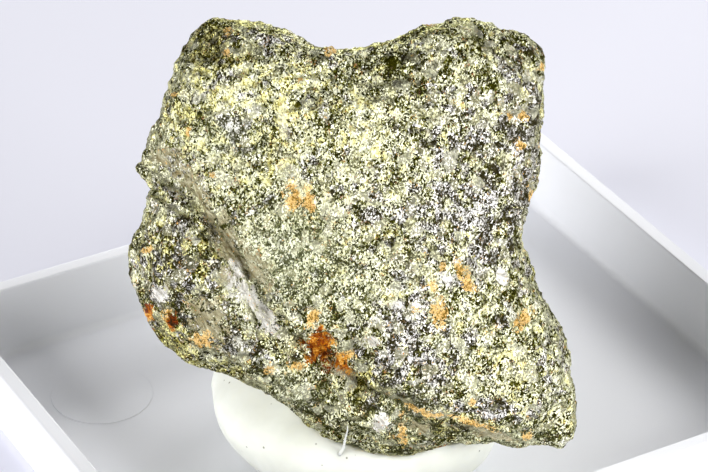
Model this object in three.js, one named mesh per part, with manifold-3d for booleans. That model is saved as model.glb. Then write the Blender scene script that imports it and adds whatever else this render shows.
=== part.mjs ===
// A hand specimen of granular chalcopyrite, held up by a lump of mineral putty in the white
// moulded base of a small specimen box.
//
// Millimetres, +Z up. The origin is the centre of the tray's underside. X runs along the tray's
// long side and Y along its short side. The stone stands turned in the tray and leans back.

import * as THREE from "three";
import { ImprovedNoise } from "three/addons/math/ImprovedNoise.js";
import { mergeVertices } from "three/addons/utils/BufferGeometryUtils.js";
import Module from "manifold-3d";

// ---- Driving dimensions ------------------------------------------------------------------------

// The tray: a shallow drafted box on a small recessed foot.
const TRAY_LENGTH = 83;
const TRAY_WIDTH = 68.5;
const TRAY_HEIGHT = 10.6;
const TRAY_CORNER = 2.2;
const RIM_WIDTH = 1.9;
const RIM_ROUNDING = 0.35;
const WALL_DRAFT = 0.5;
const FLOOR_THICKNESS = 1.6;
const FLOOR_FILLET = 0.9;
const FOOT_HEIGHT = 2.6;
const FOOT_INSET = 1.4;

// The putty: a squashed ball with a flat foot.
const PUTTY_CENTRE = [-7.2, -5.6];
const PUTTY_HALF_WIDTH = 16.3;
const PUTTY_HALF_DEPTH = 16.3;
const PUTTY_WIDEST_AT = 9.2;
const PUTTY_BELOW = 11.2;
const PUTTY_ABOVE = 6.2;
const PUTTY_DENT = 0.45;
const PUTTY_DENT_SPACING = 8;
const PUTTY_BULGE = { towards: [0.83, -0.5, -0.2], spread: 0.42, height: 1.5 };
const SEAT_GAP = 0.3;

// The stone: its place in the tray, its turn about the vertical and how far it leans back.
const STONE_CENTRE = [-11.1, -11.8, 35.2];
const STONE_TURN = THREE.MathUtils.degToRad(29.5);
const STONE_TILT = THREE.MathUtils.degToRad(32.4);

// The broken edge round the stone's broad face, clockwise from the left-hand peak, as distances
// to the right of the centre and up the face.
const FACE_OUTLINE = [
  [-14.8, 23.5], [-11.8, 22.8], [-8.4, 22.5], [-5.7, 21.3], [-2.9, 19.9], [1.0, 20.0],
  [4.5, 21.1], [6.2, 22.0], [8.6, 22.5], [11.3, 23.4], [12.8, 22.8], [17.7, 22.0],
  [19.9, 20.8], [20.3, 18.5], [20.2, 15.8], [20.5, 13.9], [19.9, 12.0], [19.9, 7.5], [19.2, 4.3],
  [18.0, 1.8], [17.7, -0.2], [19.2, -2.7], [19.8, -6.0], [22.0, -9.0], [23.1, -10.6],
  [23.4, -14.6], [24.2, -17.5], [24.2, -20.4], [23.9, -22.2], [22.2, -23.4], [20.3, -22.4],
  [17.6, -22.5], [12.7, -21.7], [8.4, -22.8], [4.8, -23.6], [-1.0, -22.1], [-2.8, -21.6],
  [-7.0, -18.1], [-11.6, -15.6], [-15.8, -13.9], [-17.9, -13.0], [-20.8, -10.6],
  [-22.9, -6.5], [-24.0, -3.6], [-24.0, -1.4], [-21.7, 3.2], [-21.6, 5.9], [-22.9, 6.9],
  [-22.1, 9.2], [-20.4, 13.7], [-19.1, 17.0], [-18.2, 19.2], [-16.4, 22.3],
];

// How the stone is built up in front of and behind that edge. The edge itself lies on a plane
// that comes forward by EDGE_LEAN for each millimetre up the face.
const EDGE_LEAN = 0.18;
const FRONT_DEPTH = 8;
const BACK_DEPTH = 14.5;
const BOXINESS = 0.6;

// Away from the edge the outline softens into a rounder one, a little smaller. Depth counts from
// 0 at the edge to 1 at mid-face.
const SOFTENING_DEG = 16;
const SOFT_SHRINK = 0.6;
const SOFT_FROM_DEPTH = 0.08;
const SOFT_BY_DEPTH = 0.5;

// The scar that bounds the main face below and to the left: a quartz-filled trough that runs
// into the overhanging ledge along the foot of the face.
const SCAR = [
  [-27.0, 12.4], [-23.0, 9.6], [-16.4, 5.2], [-12.1, -0.2], [-8.6, -6.7], [-3.5, -11.5],
  [2.5, -16.4], [9.5, -19.1], [16.0, -20.6], [27.0, -23.4],
];
const TROUGH_DEPTH = 1.8;
const TROUGH_WIDTH = 1.7;
const TROUGH_BELOW_SCAR = 1.2;
const LEDGE_STARTS_AT = -9;
const LEDGE_FULL_AT = -1;
const LEDGE_FALL = 0.75;
const LEDGE_REACH = 6.5;

// Rounded swellings (+) and hollows (-) of the face: place, size across and height.
const SWELLINGS = [
  { at: [-18.2, -2.4], size: 5.0, height: 2.2 },
  { at: [-12.5, -11.0], size: 3.4, height: 1.3 },
  { at: [-4.5, 10.0], size: 7.0, height: 1.2 },
  { at: [18.5, -14.5], size: 4.6, height: 1.6 },
  { at: [5.5, -7.5], size: 5.0, height: 0.7 },
  { at: [5.0, 18.6], size: 3.0, height: -1.8 },
  { at: [-3.4, -11.2], size: 1.6, height: -1.2 },
  { at: [-0.8, -13.6], size: 1.5, height: -1.0 },
  { at: [13.5, 7.0], size: 4.5, height: -0.9 },
  { at: [-19.5, 7.5], size: 2.2, height: -0.8 },
];
const RIGHT_SIDE_STARTS_AT = 7;
const RIGHT_SIDE_FALL = 0.16;

// Flat breaks that cut the sides and the back: outward direction and distance from the centre.
const BREAKS = [
  { facing: [0.1, 0.97, 0.2], distance: 13.2 },
  { facing: [0.62, 0.76, 0.2], distance: 17.6 },
  { facing: [-0.58, 0.79, 0.18], distance: 18.2 },
  { facing: [0.12, 0.66, 0.74], distance: 19.8 },
  { facing: [-0.3, 0.72, -0.62], distance: 20.0 },
  { facing: [0.42, 0.6, -0.68], distance: 27.6 },
  { facing: [0, 0.536, -0.844], distance: 24.3 },
];
const BREAK_SHARPNESS = 0.88;

// Lumpiness of the broken surface, coarse to fine: distance between lumps and their height.
// It is held back to EDGE_CALM of itself at the edge, so that the outline keeps its shape.
const LUMPS = [
  { spacing: 9, height: 1.1 },
  { spacing: 4.2, height: 0.65 },
  { spacing: 2.1, height: 0.35 },
];
const EDGE_CALM = 0.25;
const LUMP_SEED_STEP = 11.3;

const STONE_DETAIL = 17;
const PUTTY_SEGMENTS = 36;
const PUTTY_RINGS = 20;
const CORNER_STEPS = 6;

// ---- Small helpers -----------------------------------------------------------------------------

const noise = new ImprovedNoise();

/** 0 below `low`, 1 above `high` and a smooth rise between. */
function ramp(value, low, high) {
  return THREE.MathUtils.smoothstep(value, low, high);
}

/** Noise between about -1 and 1 whose lumps are `spacing` apart. */
function lump(point, spacing, seed) {
  return noise.noise(point.x / spacing + seed, point.y / spacing - seed, point.z / spacing + seed);
}

/** The geometry with its shared corners merged, so that it closes. */
function merged(geometry) {
  geometry.deleteAttribute("normal");
  geometry.deleteAttribute("uv");
  return mergeVertices(geometry, 1e-4);
}

/** A named mesh, faceted as it is made, with its material. */
function piece(name, geometry, material) {
  const mesh = new THREE.Mesh(geometry, new THREE.MeshStandardMaterial(material));
  mesh.name = name;
  return mesh;
}

// ---- Display tray ------------------------------------------------------------------------------

/** The outline of the tray at one level: the outer rectangle drawn in by `inset`. */
function trayRing(inset, height) {
  const halfX = TRAY_LENGTH / 2 - inset;
  const halfY = TRAY_WIDTH / 2 - inset;
  const radius = Math.max(TRAY_CORNER - inset, FLOOR_FILLET / 2);
  const corners = [[1, 1], [-1, 1], [-1, -1], [1, -1]];
  return corners.flatMap(([sideX, sideY], quarter) =>
    Array.from({ length: CORNER_STEPS + 1 }, (_, step) => {
      const angle = (quarter + step / CORNER_STEPS) * (Math.PI / 2);
      return new THREE.Vector3(
        sideX * (halfX - radius) + radius * Math.cos(angle),
        sideY * (halfY - radius) + radius * Math.sin(angle),
        height,
      );
    }),
  );
}

/** Levels of a quarter-round edge between two directions, as [inset, height] pairs. */
function rounding(inset, height, radius, from, to, steps = 3) {
  return Array.from({ length: steps + 1 }, (_, step) => {
    const angle = THREE.MathUtils.degToRad(THREE.MathUtils.lerp(from, to, step / steps));
    return [inset + radius * Math.cos(angle), height + radius * Math.sin(angle)];
  });
}

/** The tray as rings stacked from the foot, up the outside, over the rim and down to the floor. */
function trayGeometry() {
  const top = TRAY_HEIGHT - RIM_ROUNDING;
  const innerFoot = RIM_WIDTH + WALL_DRAFT + FLOOR_FILLET;
  const levels = [
    [FOOT_INSET + 0.3, 0],
    [FOOT_INSET, 0.3],
    [FOOT_INSET, FOOT_HEIGHT],
    [WALL_DRAFT * 0.6 + 0.2, FOOT_HEIGHT],
    [WALL_DRAFT * 0.6, FOOT_HEIGHT + 0.2],
    ...rounding(RIM_ROUNDING, top, RIM_ROUNDING, 180, 90),
    ...rounding(RIM_WIDTH - RIM_ROUNDING, top, RIM_ROUNDING, 90, 0),
    ...rounding(innerFoot, FLOOR_THICKNESS + FLOOR_FILLET, FLOOR_FILLET, 180, 270),
  ];
  const rings = levels.map(([inset, height]) => trayRing(inset, height));
  const size = rings[0].length;
  const points = rings.flat();
  const bottom = points.push(new THREE.Vector3(0, 0, 0)) - 1;
  const floor = points.push(new THREE.Vector3(0, 0, FLOOR_THICKNESS)) - 1;
  const faces = [];
  for (let side = 0; side < size; side += 1) {
    const next = (side + 1) % size;
    for (let level = 0; level + 1 < rings.length; level += 1) {
      const low = level * size;
      const high = low + size;
      faces.push(low + side, low + next, high + next, low + side, high + next, high + side);
    }
    const last = (rings.length - 1) * size;
    faces.push(bottom, next, side);
    faces.push(floor, last + side, last + next);
  }
  const geometry = new THREE.BufferGeometry().setFromPoints(points);
  geometry.setIndex(faces);
  return geometry;
}

// ---- Chalcopyrite ------------------------------------------------------------------------------

/** Distance from the stone's centre to the edge of its face, by whole degrees of direction. */
function edgeReach() {
  const corners = FACE_OUTLINE.map(([across, up]) => new THREE.Vector3(across, up, 0));
  const curve = new THREE.CatmullRomCurve3(corners, true, "centripetal");
  const samples = curve.getPoints(2000).map((point) => ({
    angle: THREE.MathUtils.radToDeg(Math.atan2(point.y, point.x)),
    reach: Math.hypot(point.x, point.y),
  }));
  const apart = (a, b) => Math.abs(((a - b + 540) % 360) - 180);
  return Array.from({ length: 360 }, (_, degree) => {
    const nearest = samples.reduce((best, sample) =>
      apart(sample.angle, degree) < apart(best.angle, degree) ? sample : best,
    );
    return nearest.reach;
  });
}

/** The same distances averaged over the directions to either side, and a little shorter. */
function softened(reaches) {
  return reaches.map((_, degree) => {
    let sum = 0;
    for (let turn = -SOFTENING_DEG; turn <= SOFTENING_DEG; turn += 1) {
      sum += reaches[(degree + turn + 360) % 360];
    }
    return sum / (2 * SOFTENING_DEG + 1) - SOFT_SHRINK;
  });
}

/** A value between the two whole degrees that a direction lies between. */
function inDirection(reaches, angle) {
  const degree = (THREE.MathUtils.radToDeg(angle) + 360) % 360;
  const low = Math.floor(degree);
  return THREE.MathUtils.lerp(reaches[low % 360], reaches[(low + 1) % 360], degree - low);
}

/** The boxy section from the edge (spread 1, deep 0) to mid-face (spread 0, deep 1). */
function sectionCurve() {
  const halfWidth = 24;
  const halfDepth = 11;
  const steps = 24;
  const points = Array.from({ length: steps + 1 }, (_, step) => {
    const angle = (step / steps) * (Math.PI / 2);
    const spread = Math.max(0, Math.cos(angle)) ** BOXINESS;
    return new THREE.Vector3(halfWidth * spread, halfDepth * Math.sin(angle) ** BOXINESS, 0);
  });
  const curve = new THREE.CatmullRomCurve3(points, false, "centripetal");
  return (share) => {
    const point = curve.getPointAt(THREE.MathUtils.clamp(share, 0, 1));
    return { spread: point.x / halfWidth, deep: point.y / halfDepth };
  };
}

const scarCurve = new THREE.SplineCurve(SCAR.map(([across, up]) => new THREE.Vector2(across, up)));
const scarPoints = scarCurve.getPoints(200);

/** Height of the scar on the face at a distance across it. */
function scarHeight(across) {
  const after = scarPoints.findIndex((point) => point.x > across);
  const index = THREE.MathUtils.clamp(after < 0 ? Infinity : after, 1, scarPoints.length - 1);
  const low = scarPoints[index - 1];
  const high = scarPoints[index];
  return THREE.MathUtils.mapLinear(across, low.x, high.x, low.y, high.y);
}

/** How far a place in the face lies from the scar: positive on the side of the main face. */
function beyondScar(across, up) {
  const slope = (scarHeight(across + 1) - scarHeight(across - 1)) / 2;
  return (up - scarHeight(across)) / Math.hypot(1, slope);
}

/** How far the face stands in front of its edge plane at a place, before the small lumps. */
function frontRelief(across, up) {
  let depth = FRONT_DEPTH;
  for (const { at, size, height } of SWELLINGS) {
    const squared = ((across - at[0]) ** 2 + (up - at[1]) ** 2) / size ** 2;
    depth += height * Math.exp(-squared / 2);
  }
  const side = beyondScar(across, up);
  depth -= TROUGH_DEPTH * Math.exp(-(((side + TROUGH_BELOW_SCAR) / TROUGH_WIDTH) ** 2));
  const ledge = ramp(across, LEDGE_STARTS_AT, LEDGE_FULL_AT);
  depth -= ledge * LEDGE_FALL * THREE.MathUtils.clamp(-side, 0, LEDGE_REACH);
  depth -= RIGHT_SIDE_FALL * Math.max(0, across - RIGHT_SIDE_STARTS_AT);
  return depth;
}

/** The stone's surface in a direction from its centre: x across the face, y into it, z up it. */
function stonePoint(direction, shape) {
  const angle = Math.atan2(direction.z, direction.x);
  const latitude = Math.asin(THREE.MathUtils.clamp(direction.y, -1, 1)) / (Math.PI / 2);
  const { spread, deep } = shape.section(Math.abs(latitude));
  const softness = ramp(deep, SOFT_FROM_DEPTH, SOFT_BY_DEPTH);
  const reach = THREE.MathUtils.lerp(
    inDirection(shape.reaches, angle),
    inDirection(shape.softReaches, angle),
    softness,
  );
  const across = spread * reach * Math.cos(angle);
  const up = spread * reach * Math.sin(angle);
  const depth = latitude < 0 ? -deep * frontRelief(across, up) : deep * BACK_DEPTH;
  const point = new THREE.Vector3(across, depth - EDGE_LEAN * up, up);
  for (const { facing, distance } of BREAKS) {
    const outward = new THREE.Vector3(...facing).normalize();
    const over = point.dot(outward) - distance;
    if (over > 0) point.addScaledVector(outward, -BREAK_SHARPNESS * over);
  }
  const outward = point.clone().normalize();
  const loose = THREE.MathUtils.lerp(EDGE_CALM, 1, softness);
  LUMPS.forEach(({ spacing, height }, index) => {
    const seed = LUMP_SEED_STEP * (index + 1);
    point.addScaledVector(outward, height * loose * lump(point, spacing, seed));
  });
  return point;
}

/** The whole stone in its own frame. `grow` moves its surface outwards, for its seat. */
function stoneGeometry(grow = 0) {
  const reaches = edgeReach();
  const shape = { reaches, softReaches: softened(reaches), section: sectionCurve() };
  const geometry = merged(new THREE.IcosahedronGeometry(1, STONE_DETAIL));
  const place = geometry.getAttribute("position");
  const direction = new THREE.Vector3();
  for (let i = 0; i < place.count; i += 1) {
    direction.fromBufferAttribute(place, i).normalize();
    const point = stonePoint(direction, shape);
    place.setXYZ(i, point.x, point.y, point.z);
  }
  if (grow > 0) {
    geometry.computeVertexNormals();
    const normal = geometry.getAttribute("normal");
    for (let i = 0; i < place.count; i += 1) {
      place.setXYZ(
        i,
        place.getX(i) + grow * normal.getX(i),
        place.getY(i) + grow * normal.getY(i),
        place.getZ(i) + grow * normal.getZ(i),
      );
    }
    geometry.deleteAttribute("normal");
  }
  return geometry;
}

/** Where the stone's own frame lies in the tray's. */
function stonePlace() {
  const turned = new THREE.Euler(-STONE_TILT, 0, -STONE_TURN, "ZYX");
  return new THREE.Matrix4().makeRotationFromEuler(turned).setPosition(...STONE_CENTRE);
}

// ---- Putty -------------------------------------------------------------------------------------

/** The squashed ball before the stone is pressed into it, standing at the tray's floor. */
function puttyBall() {
  const geometry = merged(new THREE.SphereGeometry(1, PUTTY_SEGMENTS, PUTTY_RINGS));
  geometry.rotateX(Math.PI / 2);
  const place = geometry.getAttribute("position");
  const point = new THREE.Vector3();
  const bulge = new THREE.Vector3(...PUTTY_BULGE.towards);
  for (let i = 0; i < place.count; i += 1) {
    point.fromBufferAttribute(place, i);
    const halfHeight = point.z < 0 ? PUTTY_BELOW : PUTTY_ABOVE;
    point.set(point.x * PUTTY_HALF_WIDTH, point.y * PUTTY_HALF_DEPTH, point.z * halfHeight);
    const dent = PUTTY_DENT * lump(point, PUTTY_DENT_SPACING, LUMP_SEED_STEP);
    const off = point.angleTo(bulge) / PUTTY_BULGE.spread;
    point.setLength(point.length() + dent + PUTTY_BULGE.height * Math.exp(-(off ** 2) / 2));
    const height = Math.max(0, PUTTY_WIDEST_AT + point.z);
    place.setXYZ(i, point.x, point.y, height);
  }
  geometry.rotateZ(-STONE_TURN);
  geometry.translate(PUTTY_CENTRE[0], PUTTY_CENTRE[1], FLOOR_THICKNESS);
  return merged(geometry);
}

/** The putty with the stone's seat pressed into its top. */
async function puttyGeometry() {
  const wasm = await Module();
  wasm.setup();
  const solid = (geometry) =>
    new wasm.Manifold(
      new wasm.Mesh({
        numProp: 3,
        vertProperties: new Float32Array(geometry.getAttribute("position").array),
        triVerts: new Uint32Array(geometry.getIndex().array),
      }),
    );
  const stone = solid(stoneGeometry(SEAT_GAP).applyMatrix4(stonePlace()));
  const bodies = solid(puttyBall()).subtract(stone).decompose();
  bodies.sort((a, b) => b.volume() - a.volume());
  const mesh = bodies[0].getMesh();
  const geometry = new THREE.BufferGeometry();
  geometry.setAttribute("position", new THREE.BufferAttribute(mesh.vertProperties, 3));
  geometry.setIndex(new THREE.BufferAttribute(mesh.triVerts, 1));
  return geometry;
}

// ---- Assembly ----------------------------------------------------------------------------------

const WHITE_PLASTIC = { color: "#e9eaee", roughness: 0.35, metalness: 0 };
const IVORY_PUTTY = { color: "#eeeee2", roughness: 0.8, metalness: 0 };
const BRASSY_ORE = { color: "#a9a55c", roughness: 0.4, metalness: 0.6 };

const specimen = new THREE.Group();
specimen.add(piece("display_tray", trayGeometry(), WHITE_PLASTIC));
specimen.add(piece("putty", await puttyGeometry(), IVORY_PUTTY));

const stand = new THREE.Group();
stand.applyMatrix4(stonePlace());
stand.add(piece("chalcopyrite", stoneGeometry(), BRASSY_ORE));
specimen.add(stand);

export default specimen;
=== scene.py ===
# A hand specimen of granular chalcopyrite ore, held up by a lump of mineral putty in the white
# moulded base of a small specimen box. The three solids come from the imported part; here each is
# made again with the relief, the grain and the finish of the real thing.
import math

import bmesh
import bpy
import numpy as np
from mathutils import Matrix, Vector, noise


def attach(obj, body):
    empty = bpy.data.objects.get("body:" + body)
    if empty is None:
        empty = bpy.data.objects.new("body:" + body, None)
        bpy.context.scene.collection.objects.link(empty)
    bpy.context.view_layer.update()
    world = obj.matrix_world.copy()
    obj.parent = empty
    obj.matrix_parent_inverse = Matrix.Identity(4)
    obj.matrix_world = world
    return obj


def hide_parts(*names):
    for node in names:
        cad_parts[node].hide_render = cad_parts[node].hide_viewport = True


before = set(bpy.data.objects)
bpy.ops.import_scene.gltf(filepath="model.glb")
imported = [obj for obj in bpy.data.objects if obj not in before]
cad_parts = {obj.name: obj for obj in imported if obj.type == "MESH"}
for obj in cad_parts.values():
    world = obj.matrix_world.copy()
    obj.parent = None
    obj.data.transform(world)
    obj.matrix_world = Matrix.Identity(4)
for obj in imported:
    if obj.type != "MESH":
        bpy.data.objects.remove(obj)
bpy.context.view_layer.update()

# ---- The display tray --------------------------------------------------------------------------
# The base of a small specimen box, injection-moulded in white polystyrene: thin drafted walls
# with a softly rounded rim, a flat floor that carries the faint round mark of an ejector pin, and
# a foot that is set in from the walls so that the box stacks.

MM = 0.001
TRAY_SIZE = (83 * MM, 68.5 * MM)
TRAY_HEIGHT = 10.6 * MM
TRAY_CORNER = 2.2 * MM
INNER_CORNER = 1.2 * MM
RIM_WIDTH = 1.9 * MM
RIM_ROUNDING = 0.35 * MM
WALL_DRAFT = 0.5 * MM
OUTER_DRAFT = 0.3 * MM
TRAY_FLOOR = 1.6 * MM
FLOOR_FILLET = 0.9 * MM
FOOT_HEIGHT = 2.6 * MM
FOOT_INSET = 1.4 * MM
EDGE_BREAK = 0.25 * MM
CORNER_STEPS = 10
PIN_MARK = {"at": (-27.6 * MM, 18.9 * MM), "radius": 6.0 * MM, "height": 0.1 * MM}
PIN_LENGTH = 1.0 * MM
# How far apart the waves of shrinkage and the smudges of handling lie.
SHRINKAGE = 11.11 * MM
SMUDGES = 4.545 * MM


def choose(piece, kind, wanted):
    """In edit mode, selects only the "faces" or "edges" that wanted() says yes to."""
    bpy.ops.mesh.select_mode(type="FACE" if kind == "faces" else "EDGE")
    bpy.ops.mesh.select_all(action="DESELECT")
    mesh = bmesh.from_edit_mesh(piece.data)
    for part in getattr(mesh, kind):
        part.select_set(wanted(part))
    mesh.select_flush_mode()
    bmesh.update_edit_mesh(piece.data)


def level(part, height):
    """Whether a face or an edge lies flat at this height."""
    return all(abs(vert.co.z - height) < 0.01 * MM for vert in part.verts)


def turns_down(edge, height):
    """Whether an edge at this height lies between a flat face and a wall."""
    walls = sum(abs(face.normal.z) < 0.7 for face in edge.link_faces)
    return level(edge, height) and walls == 1


def apply_modifier(piece, kind, **settings):
    """Adds a modifier with these settings to the active piece and applies it."""
    modifier = piece.modifiers.new(kind.lower(), kind)
    for name, value in settings.items():
        setattr(modifier, name, value)
    bpy.ops.object.modifier_apply(modifier=modifier.name)


def narrowed(by):
    """The scale that draws the tray's outline in by this much on every side."""
    return tuple(1 - 2 * by / size for size in TRAY_SIZE) + (1,)


# A block as high as the walls. The foot is drawn down from its underside, and the inside is sunk
# from its top and narrows to the floor.
bpy.ops.object.select_all(action="DESELECT")
bpy.ops.mesh.primitive_cube_add(size=1, location=(0, 0, (FOOT_HEIGHT + TRAY_HEIGHT) / 2))
tray = bpy.context.object
tray.name = "moulded_tray"
tray.scale = (*TRAY_SIZE, TRAY_HEIGHT - FOOT_HEIGHT)
bpy.ops.object.transform_apply(location=True, rotation=False, scale=True)
bpy.ops.object.mode_set(mode="EDIT")
choose(tray, "faces", lambda f: level(f, FOOT_HEIGHT))
bpy.ops.transform.resize(value=narrowed(OUTER_DRAFT), center_override=(0, 0, FOOT_HEIGHT))
bpy.ops.mesh.inset(thickness=FOOT_INSET - OUTER_DRAFT)
bpy.ops.mesh.extrude_region_move(TRANSFORM_OT_translate={"value": (0, 0, -FOOT_HEIGHT)})
choose(tray, "faces", lambda f: level(f, TRAY_HEIGHT))
bpy.ops.mesh.inset(thickness=RIM_WIDTH)
bpy.ops.mesh.extrude_region_move(
    TRANSFORM_OT_translate={"value": (0, 0, TRAY_FLOOR - TRAY_HEIGHT)}
)
bpy.ops.transform.resize(value=narrowed(WALL_DRAFT), center_override=(0, 0, TRAY_FLOOR))
# The upright corners are rounded first: outside, inside and at the foot.
for low, high, radius in (
    (FOOT_HEIGHT, TRAY_HEIGHT, TRAY_CORNER), (TRAY_FLOOR, TRAY_HEIGHT, INNER_CORNER),
    (0, FOOT_HEIGHT, INNER_CORNER),
):
    choose(
        tray, "edges",
        lambda e: abs(min(v.co.z for v in e.verts) - low) < EDGE_BREAK
        and abs(max(v.co.z for v in e.verts) - high) < EDGE_BREAK,
    )
    bpy.ops.mesh.bevel(offset=radius, segments=CORNER_STEPS, affect="EDGES")
# Then the edges that run round the tray: at the floor, the rim, the underside and the walls' foot.
for height, radius, steps in (
    (TRAY_FLOOR, FLOOR_FILLET, 5), (TRAY_HEIGHT, RIM_ROUNDING, 4), (0, EDGE_BREAK, 3)
):
    choose(tray, "edges", lambda e: turns_down(e, height))
    bpy.ops.mesh.bevel(offset=radius, segments=steps, affect="EDGES")
choose(
    tray, "edges",
    lambda e: turns_down(e, FOOT_HEIGHT) and e.calc_face_angle_signed() > 0,
)
bpy.ops.mesh.bevel(offset=EDGE_BREAK, segments=3, affect="EDGES")
bpy.ops.object.mode_set(mode="OBJECT")

# The pin's mark stands a hair above the floor, with a soft edge.
bpy.ops.object.select_all(action="DESELECT")
bpy.ops.mesh.primitive_cylinder_add(
    vertices=96, radius=PIN_MARK["radius"], depth=PIN_LENGTH,
    location=(*PIN_MARK["at"], TRAY_FLOOR + PIN_MARK["height"] - PIN_LENGTH / 2),
)
pin = bpy.context.object
bpy.ops.object.transform_apply(location=True, rotation=False, scale=True)
bpy.ops.object.select_all(action="DESELECT")
bpy.context.view_layer.objects.active = tray
tray.select_set(True)
apply_modifier(tray, "BOOLEAN", object=pin, operation="UNION", solver="EXACT")
bpy.data.objects.remove(pin)
bpy.ops.object.mode_set(mode="EDIT")
choose(tray, "edges", lambda e: turns_down(e, TRAY_FLOOR + PIN_MARK["height"]))
bpy.ops.mesh.bevel(offset=PIN_MARK["height"] * 0.6, segments=2, affect="EDGES")
bpy.ops.object.mode_set(mode="OBJECT")
bpy.ops.object.shade_smooth_by_angle(angle=math.radians(40))
apply_modifier(tray, "WEIGHTED_NORMAL", keep_sharp=True, weight=100)


def new_material(name):
    """An empty node material, and its node tree."""
    material = bpy.data.materials.new(name)
    material.use_nodes = True
    material.node_tree.nodes.clear()
    return material, material.node_tree


def add(tree, kind, settings, links=None):
    """Adds a node. Settings go to its inputs, its colour ramp's stops or its own fields, and links
    feed its inputs from other nodes' first outputs or from the outputs given."""
    node = tree.nodes.new("ShaderNode" + kind)
    for name, value in settings.items():
        if name == "stops":
            elements = node.color_ramp.elements
            while len(elements) < len(value):
                elements.new(0.5)
            for element, (position, code) in zip(elements, value):
                element.position, element.color = position, colour(code)
        elif isinstance(name, int) or name in node.inputs:
            is_code = isinstance(value, str) and value.startswith("#")
            node.inputs[name].default_value = colour(value) if is_code else value
        else:
            setattr(node, name, value)
    for name, source in (links or {}).items():
        tree.links.new(getattr(source, "outputs", [source])[0], node.inputs[name])
    return node


def colour(code):
    """An sRGB hex colour as the linear colour that a node takes."""
    parts = [int(code[i:i + 2], 16) / 255 for i in (1, 3, 5)]
    return [p / 12.92 if p <= 0.04045 else ((p + 0.055) / 1.055) ** 2.4 for p in parts] + [1]


# Moulded polystyrene: bright white, with a low satin gloss from the polished mould and a very
# slight waviness where the plastic shrank.
polystyrene, tree = new_material("moulded polystyrene")
place = add(tree, "TexCoord", {}).outputs["Object"]
shrinkage = add(tree, "TexNoise", {"Scale": 1 / SHRINKAGE, "Detail": 2}, {"Vector": place})
ripple = add(tree, "Bump", {"Strength": 0.05, "Distance": 0.2 * MM}, {"Height": shrinkage})
handling = add(tree, "TexNoise", {"Scale": 1 / SMUDGES, "Detail": 4}, {"Vector": place})
gloss = add(tree, "MapRange", {"To Min": 0.26, "To Max": 0.4}, {"Value": handling})
plastic = add(
    tree, "BsdfPrincipled", {"Base Color": "#EFF0F4", "IOR": 1.5},
    {"Roughness": gloss, "Normal": ripple},
)
add(tree, "OutputMaterial", {}, {"Surface": plastic})
tray.data.materials.append(polystyrene)
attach(tray, "root")
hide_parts("display_tray")

# ---- The putty ---------------------------------------------------------------------------------
# Off-white mineral tack, kneaded to a ball and pressed down under the stone, so it is smooth,
# bulging and matte, with shallow dents from the fingers, a few specks of picked-up dust and one
# thin wisp of tack that stands against the stone.

PUTTY_DETAIL = 0.45 * MM
# How far apart the fingers' dents and the skin's ripples lie, and how high they are.
DENTS = (5 * MM, 0.35 * MM)
RIPPLES = (1.4 * MM, 0.06 * MM)
# Points along the wisp, from the putty to its end, and its radius at each, all in millimetres.
WISP = [
    ((-16.2, -18.0, 12.2), 0.26), ((-16.1, -18.75, 13.6), 0.15), ((-16.5, -19.8, 15.6), 0.11),
    ((-16.6, -20.5, 17.2), 0.08), ((-16.9, -21.0, 18.2), 0.04),
]
# How far apart the mottles, the specks of dust and the creases lie.
MOTTLES = 3.846 * MM
SPECKS = 1.4286 * MM
CREASES = 1.111 * MM


def copy_of(node, name):
    """A new piece that starts as the merged copy of a solid, selected and active."""
    bpy.ops.object.select_all(action="DESELECT")
    piece = bpy.data.objects.new(name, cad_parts[node].data.copy())
    bpy.context.collection.objects.link(piece)
    piece.data.materials.clear()
    bpy.context.view_layer.objects.active = piece
    piece.select_set(True)
    bpy.ops.object.mode_set(mode="EDIT")
    bpy.ops.mesh.select_all(action="SELECT")
    bpy.ops.mesh.remove_doubles(threshold=0.002 * MM)
    bpy.ops.object.mode_set(mode="OBJECT")
    return piece


def relief(piece, kind, size, height, group="", **settings):
    """Raises and lowers the piece's surface, or a group of it, by a solid pattern of this size."""
    pattern = bpy.data.textures.new(f"{piece.name} relief", kind)
    pattern.noise_scale = size
    for name, value in settings.items():
        setattr(pattern, name, value)
    apply_modifier(
        piece, "DISPLACE", texture=pattern, texture_coords="LOCAL", strength=height,
        vertex_group=group,
    )


putty = copy_of("putty", "pressed_putty")
apply_modifier(putty, "REMESH", mode="VOXEL", voxel_size=PUTTY_DETAIL)
apply_modifier(putty, "SMOOTH", factor=0.5, iterations=4)
relief(putty, "CLOUDS", *DENTS, noise_depth=1)
relief(putty, "CLOUDS", *RIPPLES, noise_depth=2)

# The wisp was drawn out of the tack as the stone was pressed down. The strand's own radius is a
# millimetre, which the radius at each point multiplies.
strand = bpy.data.curves.new("wisp of tack", "CURVE")
strand.dimensions, strand.bevel_depth, strand.bevel_resolution = "3D", MM, 2
strand.use_fill_caps = True
spline = strand.splines.new("POLY")
spline.points.add(len(WISP) - 1)
for point, (where, radius) in zip(spline.points, WISP):
    point.co = (*(Vector(where) * MM), 1)
    point.radius = radius
wisp = bpy.data.objects.new("wisp of tack", strand)
bpy.context.collection.objects.link(wisp)
bpy.ops.object.select_all(action="DESELECT")
wisp.select_set(True)
bpy.context.view_layer.objects.active = wisp
bpy.ops.object.convert(target="MESH")
putty.select_set(True)
bpy.context.view_layer.objects.active = putty
bpy.ops.object.join()
bpy.ops.object.shade_smooth()

# Kneaded tack: a dull, slightly greenish ivory, faintly mottled, with fine creases and a few
# dark specks.
tack, tree = new_material("kneaded tack")
place = add(tree, "TexCoord", {}).outputs["Object"]
mottle = add(tree, "TexNoise", {"Scale": 1 / MOTTLES, "Detail": 3}, {"Vector": place})
ivory = add(tree, "ValToRGB", {"stops": [(0.3, "#DEE0D7"), (0.7, "#E8EAE2")]}, {"Fac": mottle})
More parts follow.
